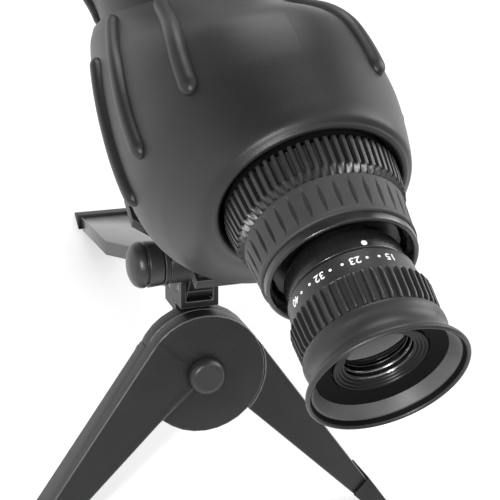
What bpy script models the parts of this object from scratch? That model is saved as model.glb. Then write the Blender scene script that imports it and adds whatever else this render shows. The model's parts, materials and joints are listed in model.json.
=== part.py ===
"""Compact straight-view spotting scope on a folding table tripod.

The eyepiece looks towards -Y and the objective towards +Y.  Stations are distances
in millimetres forward of the eyecup's rim, and heights are measured from the
eyepiece axis.  The feet stand on z = 0.
"""
import math

import bmesh
import bpy
from mathutils import Euler, Matrix, Vector

MM = 0.001
GAP = 0.3                     # clearance between touching pieces

# Where the scope sits in the world
REAR_Y = -125.0               # eyecup rim
EYE_Z = 198.6                 # eyepiece axis above the table
OBJECTIVE_DROP = 26.0         # objective axis below the eyepiece axis
LENGTH = 250.0

# Eyepiece
CUP_RADIUS = 20.5
CUP_LENGTH = 11.3
ZOOM_GRIP_RADIUS = 17.9
ZOOM_GRIP_END = 20.5
DIAL_RADIUS = 16.5
DIAL_END = 27.8
INDEX_RADIUS = 15.6
SLEEVE_INNER = 13.0
SLEEVE_OUTER = 14.5
BARREL_INNER = 10.6
BARREL_OUTER = 12.7
BARREL_END = 62.0
LENS_RADIUS = 9.0

# Focus ring
FOCUS_START = 33.0
FOCUS_GRIP_START = 35.7
FOCUS_GRIP_END = 47.6
FOCUS_END = 58.0
FOCUS_INNER = 17.6
TOOTH_RADIUS = 23.9

# Body: station, half width, top, bottom, forward lean of the section
BODY_SECTIONS = (
    (58.6, 26.4, 26.4, 26.4, 0.00),
    (59.6, 28.4, 28.2, 30.5, 0.00),
    (63.0, 30.6, 29.0, 37.0, 0.00),
    (68.0, 33.0, 29.4, 44.6, 0.00),
    (75.0, 35.8, 29.9, 53.2, 0.00),
    (86.0, 38.8, 30.5, 62.0, 0.04),
    (100.0, 40.0, 30.2, 67.0, 0.12),
    (117.0, 40.2, 28.6, 68.6, 0.30),
    (134.0, 39.4, 24.0, 67.6, 0.50),
    (149.0, 37.8, 17.0, 65.4, 0.68),
    (161.0, 35.8, 10.4, 62.2, 0.80),
    (168.0, 33.4, 7.4, 59.4, 0.85),
)
ARMOUR_WALL = 2.2
HOUSING_WALL = 2.4
HOUSING_CLEARANCE = 0.8
HOUSING_LAST = 9              # sections that the inner housing follows

# Objective barrel
TUBE_START = 128.0
WAIST_RADIUS = 30.0
BELL_RADIUS = 34.0
BELL_START = 212.0
TAPER_START = 188.0
TUBE_WALL = 1.8
OBJECTIVE_RADIUS = 25.9

# Prisms
PRISM_SIDE = 18.4             # width of each face that the light passes
PRISM_PLATE_START = 96.8
PRISM_PLATE_WALL = 2.9

# Mounting foot and head
PLATE_TOP = -76.3
PAD_WALL = 1.2
PLATE_WALL = 3.8
PLATE_REAR = 97.0
PLATE_FRONT = 150.0
TILT_STATION = 117.0
TILT_HEIGHT = -90.4
BARREL_RADIUS = 7.6
SCREW_STATION = 138.0

# Tripod: the front legs' plane leans forward, and its frame is hung on the hub
HUB_STATION = 93.5
HUB_HEIGHT = -128.2
HUB_LEAN = math.radians(59.3)
DISC_RADIUS = 22.9
DISC_WALL = 7.0
LEG_LENGTH = 105.0
LEG_TAPER = math.radians(10.0)
LEG_SPLAY = math.radians(45.0)
SLEEVE_LENGTH = 19.0
SLEEVE_WALL = 1.1
SOLE_WALL = 1.2               # rubber left under each leg
RIVET_RADIUS = 3.0
SPINE_HALF_WIDTH = 7.2
SPINE_WALL = 4.0
NECK_PIN_RISE = 30.5
NECK_PIN_DEPTH = 11.0
REAR_PIN_RISE = 27.0
REAR_PIN_DEPTH = 23.5
REAR_LEG_LENGTH = 141.0
REAR_LEG_PITCH = math.radians(-37.0)
REAR_LEG_WALL = 6.2
REAR_LEG_HALF_WIDTH = 15.0

FINE = 32                     # sides of the large turned pieces
COARSE = 20                   # sides of the small and inner ones
BORE = 12                     # sides of the bores and pins

SCOPE = "spotting_scope"
EYE_AXIS = Vector((0.0, REAR_Y * MM, EYE_Z * MM))
OBJECTIVE_AXIS = Vector((0.0, REAR_Y * MM, (EYE_Z - OBJECTIVE_DROP) * MM))
FACE_REARWARD = Euler((math.pi / 2, 0.0, 0.0))


def clear_scene():
    for item in list(bpy.data.objects):
        bpy.data.objects.remove(item, do_unlink=True)


def make_collection(name):
    group = bpy.data.collections.new(name)
    bpy.context.scene.collection.children.link(group)
    return group


def make_material(name, colour, roughness, metallic=0.0, glass=False):
    surface = bpy.data.materials.new(name)
    surface.use_nodes = True
    shader = surface.node_tree.nodes["Principled BSDF"]
    shader.inputs["Base Color"].default_value = (*colour, 1.0)
    shader.inputs["Roughness"].default_value = roughness
    shader.inputs["Metallic"].default_value = metallic
    if glass:
        shader.inputs["Transmission Weight"].default_value = 1.0
    return surface


def world_point(x, station, height):
    return Vector((x, REAR_Y + station, EYE_Z + height)) * MM


def new_object(name, mesh, group, surface=None):
    item = bpy.data.objects.new(name, mesh)
    group.objects.link(item)
    if surface is not None:
        own = surface.copy()
        own.name = name + "_" + surface.name
        mesh.materials.append(own)
    return item


def smooth(mesh, degrees=35.0):
    mesh.shade_smooth()
    mesh.set_sharp_from_angle(angle=math.radians(degrees))


def mesh_from_bmesh(name, form):
    bmesh.ops.recalc_face_normals(form, faces=form.faces)
    mesh = bpy.data.meshes.new(name)
    form.to_mesh(mesh)
    form.free()
    return mesh


def turned(name, outline, surface, axis=EYE_AXIS, sides=COARSE, closed=True):
    """Turn (station, radius) points, given along the outside from rear to front."""
    mesh = bpy.data.meshes.new(name)
    points = [(radius * MM, 0.0, -station * MM) for station, radius in outline]
    edges = [(i, i + 1) for i in range(len(points) - 1)]
    if closed:
        edges.append((len(points) - 1, 0))
    mesh.from_pydata(points, edges, [])
    item = new_object(name, mesh, parts, surface)
    item.location = axis
    item.rotation_euler = FACE_REARWARD
    screw = item.modifiers.new("turn", 'SCREW')
    screw.steps = sides
    screw.render_steps = sides
    screw.use_merge_vertices = True
    screw.merge_threshold = 0.00001
    screw.use_smooth_shade = True
    return item


def tube(name, start, end, inner, outer, surface, axis=EYE_AXIS, sides=COARSE):
    outline = ((start, outer), (end, outer), (end, inner), (start, inner))
    return turned(name, outline, surface, axis, sides)


def lens(name, start, end, radius, rear_bulge, front_bulge, surface, axis=EYE_AXIS):
    """A round lens between two stations, with a bulge at each face."""
    steps = 3
    outline = []
    for i in range(steps + 1):
        part = i / steps
        outline.append((start - rear_bulge * (1.0 - part * part), radius * part))
    for i in range(steps + 1):
        part = 1.0 - i / steps
        outline.append((end + front_bulge * (1.0 - part * part), radius * part))
    return turned(name, outline, surface, axis, COARSE, closed=False)


def cylinder_mesh(name, radius, length, sides=COARSE):
    form = bmesh.new()
    bmesh.ops.create_cone(form, cap_ends=True, segments=sides, radius1=radius * MM,
                          radius2=radius * MM, depth=length * MM)
    return mesh_from_bmesh(name, form)


def box_mesh(name, low, high):
    form = bmesh.new()
    bmesh.ops.create_cube(form, size=1.0)
    size = [(high[i] - low[i]) * MM for i in range(3)]
    middle = [(high[i] + low[i]) * 0.5 * MM for i in range(3)]
    bmesh.ops.scale(form, vec=size, verts=form.verts)
    bmesh.ops.translate(form, vec=middle, verts=form.verts)
    return mesh_from_bmesh(name, form)


def plate_mesh(name, outline, low, high):
    """A flat outline of (x, y) points, extruded from low to high along z."""
    form = bmesh.new()
    bottom = [form.verts.new((x * MM, y * MM, low * MM)) for x, y in outline]
    face = form.faces.new(bottom)
    swept = bmesh.ops.extrude_face_region(form, geom=[face])
    lifted = [v for v in swept["geom"] if isinstance(v, bmesh.types.BMVert)]
    bmesh.ops.translate(form, vec=(0.0, 0.0, (high - low) * MM), verts=lifted)
    return mesh_from_bmesh(name, form)


def add_boolean(item, cutter, operation='DIFFERENCE'):
    step = item.modifiers.new(operation.lower(), 'BOOLEAN')
    step.operation = operation
    step.solver = 'EXACT'
    step.object = cutter


def make_cutter(name, mesh, parent=None, location=(0, 0, 0), rotation=(0, 0, 0)):
    item = new_object(name, mesh, cutters)
    item.parent = parent
    item.location = Vector(location) * MM
    item.rotation_euler = rotation
    item.hide_render = True
    item.display_type = 'WIRE'
    return item


def make_empty(name, location, rotation=(0.0, 0.0, 0.0), parent=None):
    item = bpy.data.objects.new(name, None)
    parts.objects.link(item)
    item.parent = parent
    item.location = location
    item.rotation_euler = rotation
    return item


# ---- surfaces -------------------------------------------------------------

def make_surfaces():
    return {
        "armour": make_material("armour", (0.020, 0.020, 0.021), 0.55),
        "housing": make_material("housing", (0.030, 0.030, 0.032), 0.50),
        "ring": make_material("ring", (0.012, 0.012, 0.013), 0.35),
        "soft": make_material("soft", (0.028, 0.028, 0.029), 0.60),
        "metal": make_material("metal", (0.45, 0.45, 0.46), 0.35, metallic=1.0),
        "brass": make_material("brass", (0.70, 0.50, 0.22), 0.30, metallic=1.0),
        "glass": make_material("glass", (0.80, 0.86, 0.88), 0.02, glass=True),
        "leg": make_material("leg", (0.025, 0.025, 0.026), 0.50),
        "foot": make_material("foot", (0.018, 0.018, 0.018), 0.70),
        "steel": make_material("steel", (0.40, 0.40, 0.41), 0.30, metallic=1.0),
    }


# ---- eyepiece ---------------------------------------------------------------

def make_eyecup():
    outline = (
        (0.0, 20.0), (1.2, CUP_RADIUS), (3.0, 20.0), (6.0, 18.6), (9.0, 17.6),
        (CUP_LENGTH, 17.2), (CUP_LENGTH, 14.8), (8.6, 14.9), (5.0, 16.4),
        (1.6, 18.3), (0.3, 18.8),
    )
    return turned("eyecup", outline, surfaces["soft"], sides=FINE)


def make_zoom_ring():
    tube("zoom_grip", CUP_LENGTH + GAP, ZOOM_GRIP_END, SLEEVE_OUTER + GAP,
         ZOOM_GRIP_RADIUS, surfaces["ring"], sides=FINE)
    tube("zoom_dial", ZOOM_GRIP_END + GAP, DIAL_END, SLEEVE_OUTER + GAP,
         DIAL_RADIUS, surfaces["ring"], sides=FINE)
    tube("zoom_sleeve", 8.2, DIAL_END, SLEEVE_INNER, SLEEVE_OUTER, surfaces["metal"])


def make_eyepiece_body():
    tube("index_collar", DIAL_END + GAP, 35.0, SLEEVE_INNER, INDEX_RADIUS,
         surfaces["ring"], sides=FINE)
    tube("eyepiece_barrel", 7.6, BARREL_END, BARREL_INNER, BARREL_OUTER,
         surfaces["metal"])
    cone = ((4.4, BARREL_OUTER), (7.3, BARREL_OUTER), (7.3, 8.4), (6.0, 8.4))
    turned("eye_lens_ring", cone, surfaces["ring"])
    lens("eye_lens", 8.8, 11.8, LENS_RADIUS + 1.2, 0.9, 0.9, surfaces["glass"])
    tube("field_stop", 55.0, 56.5, 7.0, BARREL_INNER - GAP, surfaces["ring"])


def make_zoom_groups():
    for name, start in (("rear", 20.0), ("front", 38.0)):
        cell = ((start, 10.3), (start + 6.0, 10.3), (start + 6.0, 7.6),
                (start + 5.0, 7.6), (start + 5.0, 8.9), (start, 8.9))
        turned("zoom_cell_" + name, cell, surfaces["metal"])
        lens("zoom_lens_" + name, start + 1.6, start + 3.8, 8.6, 0.7, 0.7,
             surfaces["glass"])


# ---- focus ------------------------------------------------------------------

def make_focus_ring():
    outline = (
        (FOCUS_START, 19.9), (FOCUS_START + 0.8, 20.4), (FOCUS_GRIP_START - GAP, 20.4),
        (FOCUS_GRIP_START - GAP, 18.9), (FOCUS_END, 18.9), (FOCUS_END, FOCUS_INNER),
        (FOCUS_START, FOCUS_INNER),
    )
    turned("focus_ring", outline, surfaces["ring"], sides=FINE)
    grip = ((FOCUS_GRIP_START, 20.5), (FOCUS_GRIP_END, 21.7),
            (FOCUS_GRIP_END, 19.2), (FOCUS_GRIP_START, 19.2))
    turned("focus_grip", grip, surfaces["soft"], sides=FINE)
    teeth = ((FOCUS_GRIP_END + GAP, TOOTH_RADIUS - 1.5), (FOCUS_END, TOOTH_RADIUS),
             (FOCUS_END, 19.2), (FOCUS_GRIP_END + GAP, 19.2))
    turned("tooth_ring", teeth, surfaces["ring"], sides=FINE)


def make_focus_thread():
    outline = ((38.0, 16.9), (60.5, 16.9), (60.5, 23.4), (63.0, 23.4),
               (63.0, 13.2), (38.0, 13.2))
    turned("focus_thread", outline, surfaces["metal"])


# ---- body -------------------------------------------------------------------

def body_section(station, half_width, top, bottom, lean, inset=0.0):
    """Points round one section of the body, leaning forward below its middle."""
    middle = (top - bottom) * 0.5
    half_height = (top + bottom) * 0.5 - inset
    points = []
    for i in range(FINE):
        angle = math.tau * i / FINE
        x = (half_width - inset) * math.sin(angle)
        rise = half_height * math.cos(angle)
        points.append(world_point(x, station - lean * rise, middle + rise))
    return points


def loft(name, rings, surface):
    """Join closed rings in order and the last one back to the first."""
    form = bmesh.new()
    rows = [[form.verts.new(point) for point in ring] for ring in rings]
    for i, row in enumerate(rows):
        other = rows[(i + 1) % len(rows)]
        for j in range(len(row)):
            k = (j + 1) % len(row)
            form.faces.new((row[j], row[k], other[k], other[j]))
    mesh = mesh_from_bmesh(name, form)
    smooth(mesh, 50.0)
    return new_object(name, mesh, parts, surface)


def shell_rings(first, last, outer_inset, inner_inset):
    sections = BODY_SECTIONS[first:last]
    outer = [body_section(*section, inset=outer_inset) for section in sections]
    inner = [body_section(*section, inset=inner_inset) for section in sections]
    return outer + inner[::-1]


def make_rear_armour():
    loft("rear_armour", shell_rings(0, len(BODY_SECTIONS), 0.0, ARMOUR_WALL),
         surfaces["armour"])


def make_prism_housing():
    outer = ARMOUR_WALL + HOUSING_CLEARANCE
    loft("prism_housing", shell_rings(2, HOUSING_LAST, outer, outer + HOUSING_WALL),
         surfaces["housing"])


def barrel_outline(start, end, inset, wall):
    """Straight waist, cone and bell of the objective barrel, as a closed wall."""
    outer = [(start, WAIST_RADIUS - inset), (TAPER_START, WAIST_RADIUS - inset),
             (BELL_START, BELL_RADIUS - inset), (end, BELL_RADIUS - inset)]
    inner = [(station, radius - wall) for station, radius in reversed(outer)]
    return outer + inner


def make_objective_barrel():
    turned("front_armour", barrel_outline(TUBE_START, LENGTH - 4.3, 0.0, 2.0),
           surfaces["armour"], OBJECTIVE_AXIS, FINE)
    turned("objective_tube", barrel_outline(TUBE_START, LENGTH - 4.3, 2.3, TUBE_WALL),
           surfaces["housing"], OBJECTIVE_AXIS, FINE)
    bezel = ((LENGTH - 4.0, 34.2), (LENGTH - 0.8, 34.2), (LENGTH, 33.4), (LENGTH, 29.4),
             (LENGTH - 4.0, 30.2))
    turned("front_bezel", bezel, surfaces["ring"], OBJECTIVE_AXIS, FINE)


def make_objective():
    cell = ((216.0, 29.6), (236.0, 29.6), (236.0, 26.3), (218.2, 26.3),
            (218.2, 24.4), (216.0, 24.4))
    turned("objective_cell", cell, surfaces["housing"], OBJECTIVE_AXIS, FINE)
    crown = surfaces["glass"]
    lens("objective_flint", 218.6, 221.4, OBJECTIVE_RADIUS, 1.0, -1.4, crown, OBJECTIVE_AXIS)
    lens("objective_crown", 223.0, 226.4, OBJECTIVE_RADIUS, 1.2, 2.4, crown, OBJECTIVE_AXIS)
    tube("objective_spacer", 221.7, 222.7, 24.2, OBJECTIVE_RADIUS, surfaces["ring"],
         OBJECTIVE_AXIS, FINE)
    tube("objective_retainer", 227.2, 230.0, 23.9, OBJECTIVE_RADIUS, surfaces["ring"],
         OBJECTIVE_AXIS, FINE)


# ---- prisms -----------------------------------------------------------------

def prism(name, face_station, turn_round, tilt, middle):
    """A right-angled prism with a blunted edge, its long face square to the light."""
    side = PRISM_SIDE
    outline = ((-side, 0.0), (side, 0.0), (1.6, side - 1.6), (-1.6, side - 1.6))
    mesh = plate_mesh(name, outline, -side * 0.5, side * 0.5)
    item = new_object(name, mesh, parts, surfaces["glass"])
    spot = Matrix.Translation(world_point(middle[0], face_station, middle[1]))
    item.matrix_world = (spot @ Matrix.Rotation(tilt, 4, 'Y')
                         @ Matrix.Rotation(turn_round, 4, 'Z'))


def make_prisms():
    quarter = math.radians(45.0)
    step = OBJECTIVE_DROP * 0.25
    plate_end = PRISM_PLATE_START + PRISM_PLATE_WALL
    prism("rear_prism", PRISM_PLATE_START - GAP, math.pi, quarter, (-step, -3.0 * step))
    prism("front_prism", plate_end + GAP, 0.0, -quarter, (-step, -step))
    outline = []
    for i in range(FINE):
        angle = math.tau * i / FINE
        outline.append((31.0 * math.sin(angle), -19.0 + 38.0 * math.cos(angle)))
    mesh = plate_mesh("prism_plate", outline, 0.0, PRISM_PLATE_WALL)
    plate = new_object("prism_plate", mesh, parts, surfaces["metal"])
    plate.matrix_world = (Matrix.Translation(world_point(0.0, plate_end, 0.0))
                          @ Matrix.Rotation(math.pi / 2, 4, 'X'))
    windows = ((0.0, -OBJECTIVE_DROP), (-2.0 * step, -2.0 * step), (0.0, 0.0))
    for i, (x, height) in enumerate(windows):
        cutter = make_cutter("window_%d" % i, cylinder_mesh("window", 7.0, 12.0),
                             location=world_point(x, plate_end, height) / MM,
                             rotation=(math.pi / 2, 0.0, 0.0))
        add_boolean(plate, cutter)


def make_prism_clips():
    """Sprung straps that hold each prism's blunt edge."""
    step = OBJECTIVE_DROP * 0.25
    places = (("prism_clip_rear", PRISM_PLATE_START - GAP - PRISM_SIDE + 1.6 - GAP, -1.2,
               (-step, -3.0 * step), math.radians(45.0)),
              ("prism_clip_front", PRISM_PLATE_START + PRISM_PLATE_WALL + 2 * GAP
               + PRISM_SIDE - 1.6, 1.2, (-step, -step), math.radians(-45.0)))
    for name, station, wall, middle, tilt in places:
        low, high = sorted((0.0, wall))
        mesh = box_mesh(name, (-3.0, low, -9.0), (3.0, high, 9.0))
        item = new_object(name, mesh, parts, surfaces["steel"])
        item.matrix_world = (Matrix.Translation(world_point(middle[0], station, middle[1]))
                             @ Matrix.Rotation(tilt, 4, 'Y'))


# ---- mounting foot and head ---------------------------------------------------

def make_mount_foot():
    low = world_point(-11.0, 103.0, PLATE_TOP) / MM
    high = world_point(11.0, 147.0, -60.0) / MM
    foot = new_object("mount_foot", box_mesh("mount_foot", low, high), parts,
                      surfaces["armour"])
    belly_rings = [body_section(*s, inset=-GAP) for s in BODY_SECTIONS[1:]]
    form = bmesh.new()
    rows = [[form.verts.new(point) for point in ring] for ring in belly_rings]
    for row, other in zip(rows, rows[1:]):
        for j in range(len(row)):
            k = (j + 1) % len(row)
            form.faces.new((row[j], row[k], other[k], other[j]))
    form.faces.new(rows[0])
    form.faces.new(rows[-1])
    belly = make_cutter("belly", mesh_from_bmesh("belly", form))
    add_boolean(foot, belly)
    socket = make_cutter("insert_socket", cylinder_mesh("insert_socket", 5.3, 16.0),
                         location=world_point(0.0, SCREW_STATION, PLATE_TOP) / MM)
    add_boolean(foot, socket)
    ring = cylinder_mesh("thread_insert", 5.0, 7.0)
    insert = new_object("thread_insert", ring, parts, surfaces["brass"])
    insert.location = world_point(0.0, SCREW_STATION, PLATE_TOP + 3.6)
    bore = make_cutter("insert_bore", cylinder_mesh("insert_bore", 3.4, 12.0, BORE),
                       location=world_point(0.0, SCREW_STATION, PLATE_TOP + 3.6) / MM)
    add_boolean(insert, bore)


def plate_outline(inset=0.0):
    wide = 25.0 - inset
    narrow = 14.0 - inset
    rear = PLATE_REAR + inset
    front = PLATE_FRONT - inset
    half = ((10.0 - inset, rear), (10.0 - inset, rear + 15.0), (wide, rear + 30.0),
            (wide, front - 11.0), (narrow, front))
    points = [(x, s + REAR_Y) for x, s in half]
    points += [(-x, s) for x, s in reversed(points)]
    return points


def make_head_plate():
    pad_low = EYE_Z + PLATE_TOP - PAD_WALL
    plate_top = pad_low - GAP
    pad = new_object("plate_pad", plate_mesh("plate_pad", plate_outline(1.2), pad_low,
                                             pad_low + PAD_WALL - GAP),
                     parts, surfaces["foot"])
    plate = new_object("head_plate", plate_mesh("head_plate", plate_outline(),
                                                plate_top - PLATE_WALL, plate_top),
                       parts, surfaces["leg"])
    spot = world_point(0.0, SCREW_STATION, PLATE_TOP - 3.0) / MM
    hole = make_cutter("plate_hole", cylinder_mesh("plate_hole", 3.5, 20.0, BORE), location=spot)
    add_boolean(pad, hole)
    add_boolean(plate, hole)
    axis = world_point(0.0, TILT_STATION, TILT_HEIGHT) / MM
    for side in (-1, 1):
        lug = make_cutter("plate_lug_%d" % side,
                          cylinder_mesh("plate_lug", BARREL_RADIUS, 8.6, FINE),
                          location=axis + Vector((side * 9.6, 0.0, 0.0)),
                          rotation=(0.0, math.pi / 2, 0.0))
        web_low = (side * 9.6 - 4.3, axis.y - 5.0, axis.z)
        web_high = (side * 9.6 + 4.3, axis.y + 5.0, plate_top - 1.0)
        web = make_cutter("plate_web_%d" % side, box_mesh("plate_web", web_low, web_high))
        add_boolean(plate, lug, 'UNION')
        add_boolean(plate, web, 'UNION')
    bore = make_cutter("lug_bore", cylinder_mesh("lug_bore", 2.9, 60.0, BORE),
                       location=axis, rotation=(0.0, math.pi / 2, 0.0))
    add_boolean(plate, bore)


def make_camera_screw():
    top = EYE_Z + PLATE_TOP + 6.0
    base = EYE_Z + PLATE_TOP - PAD_WALL - GAP - PLATE_WALL - GAP
    centre = world_point(0.0, SCREW_STATION, 0.0) / MM
    shank = cylinder_mesh("camera_screw", 3.0, top - base + 1.0)
    screw = new_object("camera_screw", shank, parts, surfaces["steel"])
    screw.location = Vector((centre.x, centre.y, (top + base - 1.0) * 0.5)) * MM
    head = make_cutter("screw_head", cylinder_mesh("screw_head", 8.0, 7.0, FINE),
                       location=(centre.x, centre.y, base - 3.5))
    add_boolean(screw, head, 'UNION')


def make_tilt_pieces():
    axis = world_point(0.0, TILT_STATION, TILT_HEIGHT)
    across = (0.0, math.pi / 2, 0.0)
    bolt = new_object("tilt_bolt", cylinder_mesh("tilt_bolt", 2.6, 36.0, BORE), parts,
                      surfaces["steel"])
    bolt.location = axis + Vector((1.2, 0.0, 0.0)) * MM
    bolt.rotation_euler = across
    nut = new_object("tilt_nut", cylinder_mesh("tilt_nut", 6.0, 3.0, 6), parts,
                     surfaces["steel"])
    nut.location = axis + Vector((15.8, 0.0, 0.0)) * MM
    nut.rotation_euler = across
    nut_bore = make_cutter("nut_bore", cylinder_mesh("nut_bore", 2.9, 9.0, BORE),
                           location=nut.location / MM, rotation=across)
    add_boolean(nut, nut_bore)
    washer = new_object("tilt_washer", cylinder_mesh("tilt_washer", 7.9, 1.6, FINE), parts,
                        surfaces["metal"])
    washer.location = axis + Vector((-15.1, 0.0, 0.0)) * MM
    washer.rotation_euler = across
    add_boolean(washer, make_cutter("washer_bore", cylinder_mesh("washer_bore", 2.9, 9.0, BORE),
                                    location=washer.location / MM, rotation=across))
    make_tilt_knob(axis)


def make_tilt_knob(axis):
    """Domed clamp knob on the bolt's left end, turned about the tilt axis."""
    mesh = bpy.data.meshes.new("tilt_knob")
    outline = ((0.0, 0.0), (0.0, 8.2), (5.0, 8.4), (5.6, 7.6), (9.0, 7.0), (10.6, 5.0),
               (11.4, 2.4), (11.6, 0.0))
    points = [(radius * MM, 0.0, -height * MM) for height, radius in outline]
    mesh.from_pydata(points, [(i, i + 1) for i in range(len(points) - 1)], [])
    knob = new_object("tilt_knob", mesh, parts, surfaces["leg"])
    screw = knob.modifiers.new("turn", 'SCREW')
    screw.steps = FINE
    screw.render_steps = FINE
    screw.use_merge_vertices = True
    screw.merge_threshold = 0.00001
    screw.use_smooth_shade = True
    knob.location = axis + Vector((-16.2, 0.0, 0.0)) * MM
    knob.rotation_euler = (0.0, math.pi / 2, 0.0)
    bore = make_cutter("knob_bore", cylinder_mesh("knob_bore", 2.9, 4.0, BORE),
                       location=knob.location / MM + Vector((-0.4, 0.0, 0.0)),
                       rotation=(0.0, math.pi / 2, 0.0))
    add_boolean(knob, bore)


# ---- tripod -----------------------------------------------------------------

def plane_point(x, rise, depth):
    """A point in the hub's frame: rise up the leaning plane, depth behind its front."""
    return Vector((x, rise, -depth))


def hub_to_world(x, rise, depth):
    return hub_frame.matrix_world @ (plane_point(x, rise, depth) * MM)


def leg_outline():
    """Blade of the left leg as it hangs folded: straight inside, tapering outside."""
    width = DISC_RADIUS / math.cos(LEG_TAPER)
    end = width - LEG_LENGTH * math.tan(LEG_TAPER)
    lean = DISC_RADIUS * math.sin(LEG_TAPER)
    touch = DISC_RADIUS * math.cos(LEG_TAPER)
    return ((-0.25, 0.0), (-touch, -lean), (-end, -LEG_LENGTH), (-0.25, -LEG_LENGTH))


def half_disc_mesh(name):
    form = bmesh.new()
    bmesh.ops.create_cone(form, cap_ends=True, segments=FINE, radius1=DISC_RADIUS * MM,
                          radius2=DISC_RADIUS * MM, depth=(DISC_WALL - 0.15) * MM)
    return mesh_from_bmesh(name, form)


def make_front_leg(side):
    """One flat leg: a full-thickness blade and a half-thickness disc at the hub."""
    name = "left_leg" if side < 0 else "right_leg"
    own_depth = DISC_WALL * 0.5 if side < 0 else DISC_WALL * 1.5
    other_depth = DISC_WALL * 1.5 if side < 0 else DISC_WALL * 0.5
    outline = [(-side * x, y) for x, y in leg_outline()]
    pivot = make_empty(name + "_pivot", (0.0, 0.0, 0.0), (0.0, 0.0, side * LEG_SPLAY),
                       hub_frame)
    mesh = plate_mesh(name, outline, -2.0 * DISC_WALL + 0.15, -0.0)
    leg = new_object(name, mesh, parts, surfaces["leg"])
    leg.parent = pivot
    relief = make_cutter(name + "_relief",
                         cylinder_mesh("relief", DISC_RADIUS + GAP, DISC_WALL + 0.15, FINE),
                         pivot, plane_point(0.0, 0.0, other_depth))
    disc = make_cutter(name + "_disc", half_disc_mesh("disc"), pivot,
                       plane_point(0.0, 0.0, own_depth))
    hole = make_cutter(name + "_hole",
                       cylinder_mesh("hole", RIVET_RADIUS + GAP, 4.0 * DISC_WALL, BORE),
                       pivot, plane_point(0.0, 0.0, DISC_WALL))
    add_boolean(leg, relief)
    add_boolean(leg, disc, 'UNION')
    add_boolean(leg, hole)
    make_front_foot(name, outline, pivot, leg)


def make_front_foot(leg_name, outline, pivot, leg):
    """Rubber sleeve round the leg's end, cut level with the table."""
    name = leg_name.replace("_leg", "_foot")
    start = -LEG_LENGTH + SLEEVE_LENGTH
    sign = 1.0 if outline[1][0] > 0 else -1.0
    reach = DISC_RADIUS / math.cos(LEG_TAPER)
    grow = SLEEVE_WALL / math.cos(LEG_TAPER)
    wide_top = sign * (reach + start * math.tan(LEG_TAPER) + grow)
    wide_end = sign * (reach - (LEG_LENGTH + 3.0) * math.tan(LEG_TAPER) + grow)
    inside = sign * 0.1
    shape = ((inside, start), (wide_top, start), (wide_end, -LEG_LENGTH - 3.0),
             (inside, -LEG_LENGTH - 3.0))
    mesh = plate_mesh(name, shape, -2.0 * DISC_WALL - SLEEVE_WALL, SLEEVE_WALL)
    foot = new_object(name, mesh, parts, surfaces["foot"])
    foot.parent = pivot
    room = []
    for x, y in outline:
        grow_x = GAP * sign if abs(x) > 1.0 else -0.25 * sign - GAP * sign
        grow_y = -GAP if y < -1.0 else 0.0
        room.append((x + grow_x, y + grow_y))
    pocket = make_cutter(name + "_pocket",
                         plate_mesh("pocket", room, -2.0 * DISC_WALL - GAP, GAP), pivot)
    add_boolean(pocket, sole)
    add_boolean(foot, pocket)
    add_boolean(foot, ground)
    add_boolean(leg, ground_under_leg)


def make_hub_block():
    """Spine behind the discs, the slotted head on top of it and the rear hinge ears."""
    back = 2.0 * DISC_WALL + GAP
    outline = [(SPINE_HALF_WIDTH, 36.0), (-SPINE_HALF_WIDTH, 36.0),
               (-SPINE_HALF_WIDTH, -6.0), (-4.5, -10.5), (4.5, -10.5),
               (SPINE_HALF_WIDTH, -6.0)]
    mesh = plate_mesh("hub_block", outline, -back - SPINE_WALL, -back)
    block = new_object("hub_block", mesh, parts, surfaces["leg"])
    block.parent = hub_frame
    rise = DISC_RADIUS + 0.8
    half = SPINE_HALF_WIDTH
    head = make_cutter("slotted_head", box_mesh("slotted_head", (-half, rise, -back - 1.0),
                                                (half, 36.0, -DISC_WALL)), hub_frame)
    ears = make_cutter("rear_ears", box_mesh("rear_ears", (-half, 20.0, -back - 14.0),
                                             (half, 32.0, -back - 1.0)), hub_frame)
    slot = make_cutter("head_slot", box_mesh("head_slot", (-5.0, rise + 2.4, -back - 1.3),
                                             (5.0, 40.0, 0.0)), hub_frame)
    rear_slot = make_cutter("rear_slot", box_mesh("rear_slot", (-4.4, 10.0, -back - 30.0),
                                                  (4.4, 40.0, -back - SPINE_WALL)), hub_frame)
    rivet_hole = make_cutter("spine_hole",
                             cylinder_mesh("spine_hole", RIVET_RADIUS + GAP, 60.0, BORE),
                             hub_frame, plane_point(0.0, 0.0, back))
    add_boolean(block, head, 'UNION')
    add_boolean(block, ears, 'UNION')
    add_boolean(block, slot)
    add_boolean(block, rear_slot)
    add_boolean(block, rivet_hole)
    for label, rise_at, depth in (("neck", NECK_PIN_RISE, NECK_PIN_DEPTH),
                                  ("rear", REAR_PIN_RISE, REAR_PIN_DEPTH)):
        bore = make_cutter(label + "_pin_bore", cylinder_mesh("pin_bore", 1.8, 40.0, BORE),
                           hub_frame, plane_point(0.0, rise_at, depth),
                           (0.0, math.pi / 2, 0.0))
        add_boolean(block, bore)
        pin = new_object(label + "_pin",
                         cylinder_mesh("pin", 1.5, 2.0 * SPINE_HALF_WIDTH - 0.6, BORE), parts,
                         surfaces["steel"])
        pin.parent = hub_frame
        pin.location = plane_point(0.0, rise_at, depth) * MM
        pin.rotation_euler = (0.0, math.pi / 2, 0.0)


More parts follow.
